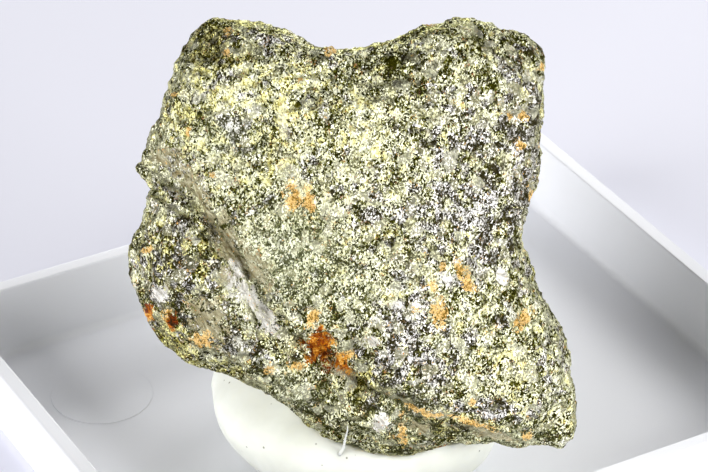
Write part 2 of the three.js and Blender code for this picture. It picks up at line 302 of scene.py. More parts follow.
# About half of the cells hold a speck, which is a small dot in the cell's middle.
dust = add(tree, "TexVoronoi", {"Scale": 1 / SPECKS}, {"Vector": place})
rare = add(tree, "Math", {"operation": "GREATER_THAN", 1: 0.5}, {0: dust.outputs["Color"]})
speck = add(
    tree, "MapRange", {"From Min": 0.12, "From Max": 0.05, "To Min": 0, "To Max": 0.9},
    {"Value": dust.outputs["Distance"]},
)
dusty = add(tree, "Math", {"operation": "MULTIPLY"}, {0: rare, 1: speck})
speckled = add(tree, "Mix", {"data_type": "RGBA", 7: "#6E6A58"}, {0: dusty, 6: ivory}).outputs[2]
creases = add(
    tree, "TexNoise", {"Scale": 1 / CREASES, "Detail": 4, "Distortion": 0.6}, {"Vector": place}
)
skin = add(tree, "Bump", {"Strength": 0.25, "Distance": 0.1 * MM}, {"Height": creases})
kneaded = add(
    tree, "BsdfPrincipled",
    {
        "Roughness": 0.78, "IOR": 1.45, "Subsurface Weight": 0.6, "Subsurface Scale": 2 * MM,
        "Subsurface Radius": (1.0, 0.95, 0.8),
    },
    {"Base Color": speckled, "Normal": skin},
)
add(tree, "OutputMaterial", {}, {"Surface": kneaded})
putty.data.materials.append(tack)
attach(putty, "root")
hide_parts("putty")

# ---- The stone ---------------------------------------------------------------------------------
# A lump broken from a granular sulphide ore. Brassy chalcopyrite and a grey sulphide lie grain
# against grain, about half a millimetre across, with quartz in the trough of the scar and patches
# of orange and rust-brown iron stain. Every grain broke on its own face, so the surface glitters.

STONE_DETAIL = 0.295 * MM
# The middle of the stone, how far it is turned about the upright and how far it leans back.
STONE_CENTRE = Vector((-11.1, -11.8, 35.2)) * MM
STONE_TURN = math.radians(29.5)
STONE_TILT = math.radians(32.4)
# Where the broad face ends at an old scar, across and up it, in millimetres, and over how far its
# slope is taken.
SCAR = (
    (-27.0, 12.4), (-23.0, 9.6), (-16.4, 5.2), (-12.1, -0.2), (-8.6, -6.7), (-3.5, -11.5),
    (2.5, -16.4), (9.5, -19.1), (16.0, -20.6), (27.0, -23.4),
)
SLOPE_REACH = 1.5
# How far a furrow of the scar lies from the next ridge, and where the bands, the quartz ridge and
# the crevice fade in and out: above the scar's edge, up the face and across it, in millimetres.
BAND_WIDTH = 0.924
BANDS_REACH = (-4.6, -3.6, -0.2, 0.8)
QUARTZ_REACH = (-12.0, -9.5, -1.0, 0.4)
CREVICE_REACH = (-4.5, -2.5, 4.5, 7.5)
# A crack at the right, and the stone's lower tip: how far across and up the face each lies, its
# half width and half height, in millimetres, and how far it is turned, in degrees.
CRACK = (17.4, 3.2, 1.9, 0.34, 4)
TIP = (22.4, -21.4, 1, 1, 0)
# How far apart the lumps, the grains and their roughness lie, and how high they are.
LUMPS = (2.6 * MM, 0.9 * MM)
GRAINS = (1.2 * MM, 0.62 * MM)
ROUGHNESS = (0.55 * MM, 0.3 * MM)

stone = copy_of("chalcopyrite", "chalcopyrite_ore")
apply_modifier(stone, "REMESH", mode="VOXEL", voxel_size=STONE_DETAIL)
apply_modifier(stone, "SMOOTH", factor=0.5, iterations=3)


def smooth_step(start, end, value):
    """Rises from 0 at the start to 1 at the end, softly. The end may be the lower of the two."""
    part = np.clip((value - start) / (end - start), 0, 1)
    return part * part * (3 - 2 * part)


def within(value, low, full_low, full_high, high):
    """1 between the two middle numbers, fading to 0 at the outer two."""
    return smooth_step(low, full_low, value) * smooth_step(high, full_high, value)


def solid_noise(at, spacing, seed):
    """A smooth random value for every point, with bumps this far apart."""
    return np.array([noise.noise(Vector(point)) for point in at / spacing + seed])


def wander(at, *waves):
    """The sum of solid noises, each with its spacing, its seed and its height."""
    return sum(solid_noise(at, spacing, seed) * height for spacing, seed, height in waves)


def scar_height(places):
    """How far up the face the scar's edge lies at these places across it."""
    return np.interp(places, *zip(*SCAR))


def fading(distance, half_width):
    """1 where the distance is 0, fading softly on either side."""
    return np.exp(-((distance / half_width) ** 2))


def reach_of(at, middle_across, middle_up, half_width, half_height, turn):
    """How far each point lies from a patch's middle, where 1 is its edge."""
    sine, cosine = math.sin(math.radians(turn)), math.cos(math.radians(turn))
    right, above = at[:, 0] - middle_across, at[:, 2] - middle_up
    return np.hypot(
        (right * cosine + above * sine) / half_width, (above * cosine - right * sine) / half_height
    )


def weigh(piece, group, weights):
    """Gives the piece a vertex group with these weights, from 0 to 1."""
    members = piece.vertex_groups.new(name=group)
    for number in np.flatnonzero(weights > 0.004):
        members.add([int(number)], float(min(weights[number], 1)), "REPLACE")


# Each point in the stone's own frame, in millimetres: across its broad face, into the stone and up
# the face. The way it faces is in the same frame, and its place by the scar is how far it lies
# above it, and how far along it.
lean = Matrix.Rotation(-STONE_TURN, 3, "Z") @ Matrix.Rotation(-STONE_TILT, 3, "X")
count = len(stone.data.vertices)
at, facing = np.empty(count * 3), np.empty(count * 3)
stone.data.vertices.foreach_get("co", at)
stone.data.vertices.foreach_get("normal", facing)
at = (at.reshape(-1, 3) - np.array(STONE_CENTRE)) @ np.array(lean) / MM
facing = facing.reshape(-1, 3) @ np.array(lean)
across, up = at[:, 0], at[:, 2]
on_face = smooth_step(-0.15, 0.2, -facing[:, 1])
rise = scar_height(across + SLOPE_REACH) - scar_height(across - SLOPE_REACH)
slope = rise / (2 * SLOPE_REACH)
above_scar = (up - scar_height(across)) / np.hypot(1, slope)
along_scar = (across - slope * up) / np.hypot(1, slope)

# The trough's glassy bands lie along the scar: furrows, and a ridge of white quartz. Further down,
# the slab's lower edge overhangs a crevice, and a short crack opens at the right. The ridge runs
# 3.1 mm below the scar's edge and the crevice 0.5 mm below it, and all of them waver.
waver = wander(at, (2.2, 5.1, 0.5), (0.8, 9.3, 0.25))
bands = np.cos((above_scar + waver) * math.pi / BAND_WIDTH)
bands *= within(above_scar, *BANDS_REACH) * smooth_step(0.5, -3.5, across)
quartz_ridge = fading(above_scar + 3.1 + waver * 0.8, 0.75) * within(up, *QUARTZ_REACH)
crevice = fading(above_scar + 0.5 + waver * 0.5, 0.42) * within(across, *CREVICE_REACH)
crack = smooth_step(1.0, 0.4, reach_of(at, *CRACK) + np.abs(waver) * 0.6)
for group, weights, height in (
    ("furrows", np.clip(-bands, 0, 1), -0.30 * MM), ("bands", np.clip(bands, 0, 1), 0.26 * MM),
    ("quartz ridge", quartz_ridge, 0.85 * MM), ("crevice", crevice, -1.1 * MM),
    ("crack", crack, -0.9 * MM),
):
    weigh(stone, group, weights * on_face)
    apply_modifier(stone, "DISPLACE", vertex_group=group, strength=height, mid_level=0)

# Patches of each mineral on the broad face: how far across and up it lies, its half width and
# half height, in millimetres, and how far it is turned, in degrees.
PATCHES = {
    "ochre": [
        (-6.2, 4.2, 0.8, 1.4, 0), (-4.4, 3.8, 0.8, 1.1, 0), (-21.6, -1.3, 0.5, 0.4, 0),
        (-14.6, 6.6, 0.3, 0.4, 0), (16.6, 13.0, 0.3, 0.6, 0), (18.1, 12.8, 0.5, 0.6, 0),
        (20.0, 18.2, 0.4, 0.4, 0), (17.9, 10.0, 0.4, 0.5, 0), (19.1, 4.7, 0.3, 0.8, 0),
        (9.7, -3.0, 0.5, 0.4, 0), (11.9, -4.2, 0.6, 1.7, 25), (8.5, -5.2, 0.4, 0.4, 0),
        (9.2, -8.0, 0.8, 1.3, 0), (18.2, -8.5, 0.7, 1.3, -35), (6.7, -7.5, 0.4, 0.4, 0),
        (18.9, -21.2, 0.5, 0.5, 0), (-5.6, -13.6, 0.8, 0.4, 0), (-8.7, -14.1, 0.5, 0.8, 0),
        (-16.0, -10.8, 1.1, 0.8, 0), (-13.0, 21.8, 0.4, 0.3, 0), (-13.0, 19.5, 0.4, 0.4, 0),
        (-2.3, 19.7, 0.6, 0.5, 0), (-5.4, 16.6, 0.3, 0.4, 0), (-18.7, 15.1, 0.3, 0.3, 0),
        (-17.1, 11.2, 0.3, 0.4, 0), (7.4, -18.4, 2.2, 0.4, -14), (12.6, -19.7, 2.4, 0.3, -17),
        (12.9, -17.5, 0.5, 0.4, 0), (-4.2, -8.5, 0.6, 0.9, 0), (-0.1, -12.3, 0.5, 0.5, 0),
        (5.3, -20.9, 0.5, 1.3, 0), (-19.3, -8.5, 0.9, 0.7, -40),
    ],
    "rust": [
        (-3.5, -11.7, 1.4, 1.7, 20), (-1.4, -13.4, 1.5, 0.8, -40), (-21.7, -7.7, 0.6, 0.8, 0),
        (-19.0, -8.7, 0.5, 0.8, 0),
    ],
    "quartz": [
        (-11.5, -6.0, 1.2, 2.0, 30), (-9.4, -8.2, 1.0, 1.9, 35), (3.0, -19.8, 0.8, 0.8, 0),
        (10.1, -4.3, 1.0, 0.7, 0), (15.8, -3.9, 0.6, 1.1, 0), (-12.6, -3.6, 0.8, 1.0, 20),
        (-20.4, -6.0, 0.8, 0.8, 0), (2.3, -11.0, 0.6, 0.5, 0), (4.8, -7.0, 0.6, 0.4, 0),
    ],
    "smoky": [
        (-13.0, -0.9, 1.3, 3.9, 20), (-10.1, -3.1, 1.2, 2.6, 30), (-19.6, 8.4, 2.2, 1.1, -20),
        (-15.2, -8.7, 2.2, 2.4, 0), (7.0, -20.3, 1.3, 0.8, 0), (-17.6, 6.4, 2.2, 0.8, -38),
        (-15.4, 3.2, 2.2, 0.7, -50), (14.4, -20.9, 3.2, 0.6, -15), (-13.2, -3.8, 0.9, 1.4, 20),
    ],
}
PATCH_STRENGTH = {"ochre": 0.76, "rust": 1.05, "quartz": 0.84, "smoky": 0.66}
# Zones where the ore is brighter, darker, greyer, paler with a greenish bloom or more golden,
# which fade into each other: the same five numbers, and how strong each zone is. Some of the
# brighter and darker zones are painted light and shade, as marked in their lists.
ZONES = {
    # Painted light among these: the lit upper left, (-9.0, 14.0), and the band of painted glints
    # in the middle, (1.2, 11.5), (1.4, 9.8) and (-0.2, 13.9).
    "light": [
        (1.2, 11.5, 2.8, 4.8, 0, 1.5), (1.4, 9.8, 1.5, 1.8, 0, 2.4),
        (-0.2, 13.9, 0.7, 0.6, 0, 2.4), (16.6, -11.4, 0.5, 1.6, 0, 2.0),
        (16.5, -14.2, 2.0, 0.5, 0, 1.8), (0.2, 9.2, 1.2, 1.2, 0, 0.6),
        (-9.0, 14.0, 11.0, 8.0, 0, 1.0), (-19.8, 15.5, 1.4, 5.0, 20, 0.9),
        (-10.5, 14.5, 4.5, 4.5, 0, 0.8), (-8.5, 18.0, 3.0, 1.6, 0, 0.4),
        (-15.5, 19.5, 3.5, 2.0, 30, 0.5), (-18.6, 4.8, 2.2, 2.4, 0, 0.8),
        (-4.0, 12.4, 1.6, 1.6, 0, 0.9), (-18.8, 16.8, 1.4, 3.0, 0, 0.8),
        (-16.0, 13.6, 2.0, 1.8, 0, 0.7), (-2.2, 5.6, 1.4, 2.6, 20, 0.5),
        (21.4, -13.2, 1.4, 2.4, 10, 1.1), (4.6, -2.5, 1.6, 1.4, 0, 0.7),
        (15.8, -10.6, 1.6, 3.0, 0, 0.6), (3.0, -7.8, 2.2, 1.6, 0, 0.5),
        (16.3, -14.6, 2.0, 2.6, 0, 0.5), (21.0, -18.4, 1.6, 1.6, 0, 0.4),
        (13.6, 2.0, 0.9, 0.9, 0, 0.8), (-1.0, -21.4, 2.6, 0.9, -15, 0.6),
        (-12.5, -12.6, 2.6, 0.8, 0, 0.4), (6.4, 17.4, 2.4, 1.4, 20, 0.4),
        (0.8, -14.8, 2.4, 0.8, -42, 0.3), (-8.5, 18.6, 1.3, 1.1, 0, 1.3),
        (-18.4, 18.0, 1.3, 4.5, 20, 1.4), (-21.2, 10.6, 1.0, 2.0, 0, 1.0),
        (-3.6, 12.0, 1.4, 1.2, 0, 1.1), (-0.8, 10.2, 1.6, 1.0, -30, 1.2),
        (-20.8, 4.0, 1.2, 1.4, 0, 0.9), (18.2, 3.0, 1.0, 2.6, 0, 0.9),
        (5.0, 1.6, 1.1, 0.9, 0, 0.9), (1.8, -2.8, 1.6, 1.0, 20, 1.0),
        (21.2, -18.4, 1.3, 1.2, 0, 1.3), (-2.8, -13.6, 1.3, 1.0, 0, 0.9),
        (-9.0, -4.4, 0.9, 2.0, 30, 0.9), (0.8, -21.6, 1.4, 0.8, 0, 1.0),
        (-5.0, 12.8, 1.4, 1.0, 0, 0.8), (-15.8, 3.0, 1.4, 2.0, 30, 0.7),
        (4.0, -7.6, 1.2, 1.0, 0, 0.9), (12.2, -6.6, 1.4, 1.0, 0, 0.8),
        (14.2, -10.4, 1.4, 1.6, 0, 0.7), (18.8, -4.0, 1.0, 1.6, 0, 0.6),
        (22.4, -11.0, 0.9, 2.4, 0, 0.7), (18.0, -15.0, 3.6, 4.0, 0, 0.85),
    ],
    "dark": [
        # Painted shade among these: the shadow line under the slab's lower edge, (1.0, -15.7) and
        # (3.9, -16.9), the shadow where the stone sits on the putty, (-3.8, -19.6) and (4.6,
        # -23.2), the shaded underside below that edge, (-1.0, -17.0), and the shade in the crack,
        # (17.4, 3.2).
        (4.6, 18.6, 2.2, 1.4, 0, 1.35), (17.0, 12.0, 4.0, 13.0, 0, 0.35),
        (1.0, -15.7, 1.8, 0.5, -30, 1.4), (3.9, -16.9, 2.4, 0.55, -17, 1.4),
        (4.5, 16.4, 5.0, 2.6, 0, 0.35), (6.0, 21.9, 3.2, 0.9, 20, 1.0),
        (-14.3, 22.4, 2.4, 0.9, 0, 1.3), (-3.8, -19.6, 3.4, 0.45, -42, 1.2),
        (4.6, -23.2, 3.0, 0.5, 0, 1.2), (17.2, 14.4, 2.2, 1.8, 0, 0.7),
        (14.4, 20.0, 2.4, 2.0, 0, 0.8), (17.8, 21.2, 1.4, 1.0, 0, 0.7),
        (17.6, 7.2, 1.2, 2.2, 0, 0.3), (13.6, 4.2, 3.2, 1.4, 0, 0.6),
        (18.2, 17.4, 1.4, 2.2, 0, 0.6), (15.4, 14.4, 1.6, 1.6, 0, 0.5),
        (-14.9, 20.4, 2.0, 1.4, 0, 1.1), (-5.0, -1.4, 1.0, 1.4, 0, 0.7),
        (-1.2, -7.4, 0.9, 0.9, 0, 0.9), (-1.6, 13.2, 0.9, 1.3, 0, 0.8),
        (-4.0, 18.4, 2.0, 1.2, 0, 0.5), (2.4, 4.4, 1.2, 2.4, 0, 0.5), (0.4, 1.8, 0.9, 0.9, 0, 0.7),
        (4.6, 0.4, 1.0, 1.2, 0, 0.8), (-13.3, -4.0, 1.2, 1.8, 0, 1.0),
        (11.8, -10.8, 0.9, 0.9, 0, 0.8), (-5.6, -7.2, 0.9, 2.2, 30, 0.8),
        (-8.6, 10.6, 1.2, 1.8, 0, 0.5), (3.2, -12.8, 1.2, 1.4, 0, 0.6),
        (3.6, -15.2, 2.6, 2.4, 0, 0.9), (2.5, -13.0, 2.4, 1.8, 0, 0.6),
        (14.0, 18.5, 4.0, 3.0, 0, 0.3), (-17.6, -8.2, 3.0, 2.6, 0, 1.0),
        (-18.0, -1.6, 3.4, 3.4, 0, 0.85), (15.0, 9.5, 4.0, 6.0, 0, 0.4),
        (17.6, 15.8, 1.4, 1.2, 0, 1.1), (9.9, 21.4, 0.8, 1.0, 0, 0.7),
        (15.2, 15.2, 1.6, 0.9, 0, 0.8), (-13.6, 7.2, 1.2, 0.9, 0, 0.6),
        (-7.4, 7.4, 1.4, 0.9, 0, 0.6), (-7.2, 3.2, 1.0, 0.9, 0, 0.6),
        (1.6, 4.4, 1.2, 1.2, 0, 0.75), (1.5, 1.8, 1.2, 0.9, 0, 0.75),
        (17.0, -1.4, 1.0, 0.9, 0, 0.8), (10.5, 8.9, 0.9, 0.9, 0, 0.7),
        (13.4, 6.2, 0.9, 0.8, 0, 0.6), (17.6, 8.2, 0.8, 2.2, 0, 0.6),
        (-16.2, -5.8, 1.6, 1.4, 0, 0.5), (-18.6, 0.2, 1.4, 1.0, 0, 0.7),
        (-11.8, -12.0, 1.0, 0.9, 0, 0.6), (18.6, -14.4, 1.2, 1.0, 0, 1.0),
        (18.8, -11.8, 1.4, 0.7, 0, 0.8), (12.4, -15.8, 1.4, 0.9, 0, 0.7),
        (4.6, -21.4, 1.3, 1.6, 0, 1.0), (1.2, -13.6, 1.4, 1.6, -40, 0.6),
        (-5.2, -0.8, 0.9, 1.4, 0, 0.5), (3.0, 14.2, 1.2, 0.8, 0, 0.5),
        (5.6, 14.0, 0.9, 0.9, 0, 0.6), (-0.4, -11.6, 1.0, 1.4, 0, 0.6),
        (6.5, 9.6, 1.6, 1.0, 0, 0.4), (10.8, 0.6, 0.9, 1.6, 0, 0.5),
        (-16.8, 11.2, 0.8, 0.8, 0, 0.5), (-7.2, 12.0, 0.8, 0.8, 0, 0.5),
        (13.6, 13.6, 2.4, 1.6, 0, 0.3), (7.6, -14.6, 2.6, 1.6, 0, 0.5),
        (-0.6, -17.4, 1.0, 2.0, 30, 0.6), (10.5, -16.5, 2.4, 1.4, 0, 0.4),
        (19.0, -14.0, 1.0, 1.2, 0, 0.8), (5.6, -21.6, 2.2, 1.2, 0, 0.6),
        (9.0, -20.0, 6.0, 1.8, 0, 0.8), (11.4, -18.8, 2.4, 0.8, -20, 0.6),
        (17.4, -20.2, 4.0, 1.2, 0, 1.0), (17.4, 3.2, 1.8, 0.35, 0, 1.0),
        (-18.4, -1.2, 1.4, 1.4, 0, 0.7), (0.2, -10.8, 0.8, 0.9, 0, 1.3),
        (-19.2, -7.2, 2.2, 1.8, 0, 0.9), (-18.6, -11.0, 1.6, 1.2, -40, 0.6),
        (-11.4, -10.6, 1.2, 0.9, 0, 0.8), (-8.6, -11.8, 3.4, 1.0, 0, 0.5),
        (4.2, -17.6, 1.0, 3.0, 10, 0.8), (12.6, -15.2, 1.0, 1.0, 0, 0.7),
        (20.2, -21.6, 2.0, 0.6, 0, 1.0), (-1.0, -17.0, 16.0, 4.5, -15, 0.6),
        (6.4, 8.2, 1.4, 1.2, 0, 0.5), (-19.0, -3.0, 4.0, 6.0, 0, 0.25),
        (-16.8, -4.8, 1.0, 2.4, 0, 0.6),
    ],
    "silver": [
        (17.6, 10.0, 2.8, 12.0, 0, 0.9), (10.5, 8.5, 2.4, 6.5, 0, 0.7),
        (8.5, 2.0, 4.4, 4.0, 0, 0.7), (13.6, 4.0, 3.4, 4.2, 0, 1.0),
        (13.6, 11.0, 2.2, 4.0, 0, 0.9), (12.0, 15.0, 3.4, 1.6, 0, 0.6),
        (11.6, -10.2, 1.6, 1.4, 0, 0.8), (8.0, -14.4, 2.4, 1.8, 0, 0.8),
        (13.0, -18.4, 3.4, 0.8, -15, 0.8), (1.6, 2.6, 2.0, 2.6, -40, 0.8),
        (5.0, -10.5, 3.4, 5.4, 0, 0.9), (14.0, -2.5, 3.0, 2.6, 0, 0.7),
        (-18.6, 2.8, 2.6, 4.0, 0, 0.5), (-18.5, -3.5, 4.0, 5.0, 0, 0.6),
        (-11.5, -11.6, 3.2, 1.6, 0, 0.8), (16.0, -18.6, 4.0, 1.4, 0, 0.5),
        (-12.2, 11.6, 2.2, 1.5, 0, 0.9), (-8.0, 20.6, 1.8, 0.9, 0, 0.9),
        (21.4, -12.5, 1.6, 3.0, 0, 0.6), (-22.4, -3.0, 1.2, 3.6, 0, 0.6),
    ],
    "sage": [
        (-6.7, -1.8, 4.8, 4.4, 0, 0.9), (5.2, -20.1, 3.6, 3.0, 0, 0.6),
        (17.0, -21.4, 3.6, 1.2, 0, 0.7), (-13.1, 10.6, 3.6, 2.6, 0, 0.4),
        (-6.0, -16.5, 4.0, 2.0, -30, 0.5), (-0.5, -4.5, 3.0, 3.0, 0, 0.4),
    ],
    "golden": [
        (-14.5, 19.5, 4.5, 3.5, 0, 0.55), (-17.0, 13.5, 3.0, 5.0, 0, 0.45),
        (-8.5, 7.5, 2.6, 2.4, 0, 0.3), (-9.0, 13.0, 9.0, 7.0, 0, 0.38),
        (4.8, -14.6, 1.2, 1.0, 0, 0.9), (-20.6, -3.2, 1.0, 1.0, 0, 1.1),
        (-15.2, -4.6, 0.7, 0.8, 0, 1.1), (13.2, 2.2, 1.0, 0.9, 0, 0.9),
        (16.0, -18.4, 1.6, 0.9, 0, 0.9), (-12.8, -10.9, 1.0, 0.6, 0, 1.0),
        (18.2, 16.6, 0.9, 1.0, 0, 1.0), (-13.4, -14.2, 3.0, 0.8, -20, 0.5),
        (-19.0, -3.0, 4.5, 6.5, 0, 0.45), (-18.5, -0.3, 1.0, 0.6, 0, 1.2),
        (-17.8, -2.0, 0.9, 0.6, 0, 1.2), (-20.5, -2.0, 0.6, 0.5, 0, 1.2),
        (-16.3, -3.3, 0.8, 0.6, 0, 1.2), (-15.8, -0.8, 0.5, 1.0, 0, 1.0),
        (-14.6, -2.3, 0.5, 0.8, 0, 1.0), (-18.6, -9.5, 0.9, 0.6, 0, 1.2),
        (-16.3, -7.3, 0.5, 0.4, 0, 1.0), (-21.8, 0.5, 0.6, 0.5, 0, 1.0),
        (-9.1, -10.2, 0.8, 0.4, 0, 1.0), (-8.3, -8.3, 0.5, 0.6, 0, 1.0),
        (-20.9, -5.3, 0.5, 0.4, 0, 1.0), (-9.0, -8.2, 1.2, 2.0, 30, 0.5),
        (-19.4, -10.6, 4.0, 1.2, -48, 1.1), (-14.9, 20.4, 2.4, 1.6, 0, 0.9),
        (1.5, -15.6, 1.8, 2.0, 30, 0.6), (10.0, -20.0, 3.6, 1.2, 0, 0.6),
        (17.0, -14.5, 2.6, 2.6, 0, 0.4), (5.0, -22.0, 2.4, 1.0, 0, 0.5),
    ],
}
# How much of each there is elsewhere, on the sides and the back: the size of its patches in
# millimetres, and the share of the surface that they take.
ELSEWHERE = {
    "ochre": (1.8, 0.035), "rust": (2.8, 0.015), "quartz": (3.2, 0.03), "smoky": (4.0, 0.04),
    "dark": (4.0, 0.25), "light": (6.0, 0.30), "silver": (7.0, 0.35), "sage": (6.0, 0.2),
    "golden": (9.0, 0.3),
}
ELSEWHERE_STRENGTH = 0.85
# How softly each ends. On the broad face a patch fades between two reaches, raggedly, and a zone
# fades from its middle; elsewhere each fades over this much of the random value.
PATCH_EDGE = (1.8, 0.3)
ZONE_EDGE = 1.1
PATCH_FADE = 0.1
ZONE_FADE = 0.4

ragged = wander(at, (0.9, 3.1, 0.5), (0.35, 8.7, 0.35))
glassy = np.zeros(count)
for number, (mineral, (spacing, share)) in enumerate(ELSEWHERE.items()):
    placed = np.zeros(count)
    for patch in PATCHES.get(mineral, []):
        reach = reach_of(at, *patch) + ragged
        placed = np.maximum(placed, PATCH_STRENGTH[mineral] * smooth_step(*PATCH_EDGE, reach))
    for *zone, strength in ZONES.get(mineral, []):
        placed = np.maximum(placed, strength * fading(reach_of(at, *zone), ZONE_EDGE))
    chance = solid_noise(at, spacing, 20 + 7.3 * number) + ragged * 0.2
    threshold = np.quantile(chance, 1 - share)
    fade = PATCH_FADE if mineral in PATCHES else ZONE_FADE
    scattered = smooth_step(threshold - fade, threshold + fade, chance) * ELSEWHERE_STRENGTH
    spread = placed * on_face + scattered * (1 - on_face)
    if mineral in ("quartz", "smoky"):
        glassy = np.maximum(glassy, spread)
    layer = stone.data.attributes.new(mineral, "FLOAT", "POINT")
    layer.data.foreach_set("value", spread.astype(np.float32))
scar_frame = np.stack([above_scar, along_scar, at[:, 1]], axis=1)
layer = stone.data.attributes.new("by_scar", "FLOAT_VECTOR", "POINT")
layer.data.foreach_set("vector", scar_frame.astype(np.float32).ravel())

# Glassy quartz broke more smoothly than the grains did, and the thin tip is worn.
tip = smooth_step(2.4, 0.8, reach_of(at, *TIP))
weigh(stone, "granular", 1 - 0.65 * glassy - 0.75 * tip * (1 - glassy))
relief(stone, "CLOUDS", *LUMPS, group="granular", noise_depth=2)
relief(stone, "VORONOI", *GRAINS, group="granular")
relief(stone, "CLOUDS", *ROUGHNESS, group="granular", noise_depth=1)
bpy.ops.object.shade_smooth()

# Granular sulphide ore. Each grain takes its kind, its tone and its tilt from one cell of a solid
# pattern, so a grain is brassy or grey and catches the light by itself. Its tone is painted light
# over the ore's own colour: pale as a painted glint, dark as a painted shaded facet. The flakes of
# a grain are drawn a little larger than they are, so that they show. These are the sizes of the
# patterns, in millimetres: the grains, their flakes, the gaps between them, darkened as painted
# shade, the larger crystals, clumps and clouds of like grains, the finest grit, and how closely
# edges are bent.
GRAIN = 0.55
FLAKE = 0.15
GAP = 0.42
CRYSTAL = 1.15
CLUMP = 1.3
CLOUD = 4.5
GRIT = 1 / 5.2
BENDS = 0.3125
ore, tree = new_material("granular sulphide ore")
place = add(tree, "TexCoord", {}).outputs["Object"]
own = add(
    tree, "Mapping",
    {
        "vector_type": "TEXTURE", "Location": STONE_CENTRE,
        "Rotation": (-STONE_TILT, 0, -STONE_TURN), "Scale": (MM, MM, MM),
    },
    {"Vector": place},
)
bend = add(tree, "TexNoise", {"Scale": 1 / BENDS, "Detail": 3}, {"Vector": own}).outputs["Color"]
centred = add(tree, "VectorMath", {"operation": "SUBTRACT", 1: (0.5, 0.5, 0.5)}, {0: bend})
bent = add(
    tree, "VectorMath", {"operation": "MULTIPLY_ADD", 1: (0.5, 0.5, 0.5)}, {0: centred, 2: own}
)
# The flakes are a little longer down to the right, as the rock was sheared.
sheared = add(
    tree, "Mapping", {"Rotation": (0, math.radians(35), 0), "Scale": (1.15, 1, 0.75)},
    {"Vector": bent},
)
grain = add(tree, "TexVoronoi", {"Scale": 1 / GRAIN}, {"Vector": bent})
flake = add(tree, "TexVoronoi", {"Scale": 1 / FLAKE}, {"Vector": sheared})
from_edge = add(
    tree, "TexVoronoi", {"Scale": 1 / GAP, "feature": "DISTANCE_TO_EDGE"}, {"Vector": sheared}
)
# The gaps between the grains, darkened in the tone as painted shade.
painted_gap_shade = add(
    tree, "MapRange", {"From Min": 0.02, "From Max": 0.16, "To Min": 1, "To Max": 0},
    {"Value": from_edge},
)
clump = add(tree, "TexNoise", {"Scale": 1 / CLUMP, "Detail": 3}, {"Vector": own})
cloud = add(tree, "TexNoise", {"Scale": 1 / CLOUD, "Detail": 2}, {"Vector": own})
fine = add(
    tree, "TexNoise", {"Scale": 1 / GRIT, "Detail": 2, "Roughness": 0.75}, {"Vector": own}
)
crystal = add(tree, "TexVoronoi", {"Scale": 1 / CRYSTAL}, {"Vector": bent})
crystal_parts = add(tree, "SeparateColor", {}, {"Color": crystal.outputs["Color"]}).outputs
grain_parts = add(tree, "SeparateColor", {}, {"Color": grain.outputs["Color"]}).outputs
flake_parts = add(tree, "SeparateColor", {}, {"Color": flake.outputs["Color"]}).outputs
amount = {
    mineral: add(tree, "Attribute", {"attribute_name": mineral}).outputs["Fac"]
    for mineral in ELSEWHERE
}

# Sums of patterns: a starting value, and then what is added, times how much. The tone is painted
# light and shade: it runs from the gaps between the grains, painted shade, to clean bright faces,
# painted glints, and takes in the light and dark zones. The scatter frays the edges of the
# patches.
MIXTURES = {
    "tone": (-2.535, (
        (flake_parts[0], 1.95), (grain_parts[1], 0.05), (clump, 2.7), (cloud, 1.25), (fine, 0.1),
        (painted_gap_shade, -0.3), (amount["light"], 0.25), (amount["dark"], -0.50), (amount["golden"], 0.12),
    )),
    "cleanness": (-0.18, ((crystal_parts[0], 0.7), (flake_parts[0], 0.35), (fine, 0.7))),
    "goldenness": (-1.02, ((amount["golden"], 0.75), (clump, 1.5), (grain_parts[2], 0.5))),
    "greyness": (-0.03, (
        (amount["silver"], 0.50), (clump, -0.55), (cloud, -0.2), (grain_parts[0], 0.25),
        (crystal_parts[2], 0.45),
    )),
    "scatter": (-1.05, ((grain_parts[2], 0.55), (fine, 1.2), (flake_parts[1], 0.35))),
    "earthiness": (-0.65, ((fine, 1.1), (clump, 0.7), (flake_parts[1], 0.55))),
    "oxidation": (-0.43, (
        (crystal_parts[2], 0.55), (clump, 0.7), (fine, 0.3), (flake_parts[1], 0.3),
    )),
    "roughness": (0.20, ((flake_parts[2], 0.25), (grain_parts[2], 0.15))),
    "grain relief": (0.0, (
        (grain.outputs["Distance"], -0.6), (flake.outputs["Distance"], -0.25), (fine, 0.8),
    )),
}
mixed = {}
for name, (start, parts) in MIXTURES.items():
    for source, weight in parts:
        links = {0: source, 2: mixed[name]} if name in mixed else {0: source}
        mixed[name] = add(
            tree, "Math", {"operation": "MULTIPLY_ADD", 1: weight, 2: start}, links
        )

# The sulphides: brassy chalcopyrite, more golden in places, and a grey sulphide, with a pale
# greenish bloom of tarnish here and there.
# Along the tone each of these ramps runs from painted shade in its dark stops to painted glints in
# its pale top stops, with the mineral's own colour between them.
brass = add(tree, "ValToRGB", {"stops": [
    (0.0, "#252400"), (0.22, "#575610"), (0.45, "#909058"), (0.66, "#CACAA8"), (0.86, "#F6F6D8"),
]}, {"Fac": mixed["tone"]})
gold = add(tree, "ValToRGB", {"stops": [
    (0.0, "#262200"), (0.22, "#5A5204"), (0.45, "#9A923A"), (0.66, "#D6CF7C"), (0.86, "#FAF6B4"),
]}, {"Fac": mixed["tone"]})
steel = add(tree, "ValToRGB", {"stops": [
    (0.0, "#2C2815"), (0.22, "#524D3C"), (0.45, "#86837B"), (0.66, "#BFBDBD"), (0.86, "#FAF8F2"),
]}, {"Fac": mixed["tone"]})
bloom = add(
    tree, "ValToRGB", {"stops": [(0.0, "#53573C"), (0.5, "#A9AF8C"), (1.0, "#EAEDD0")]},
    {"Fac": mixed["tone"]},
)
is_golden = add(
    tree, "MapRange", {"interpolation_type": "SMOOTHSTEP", "From Min": 0.1, "From Max": 0.5},
    {"Value": mixed["goldenness"]},
)
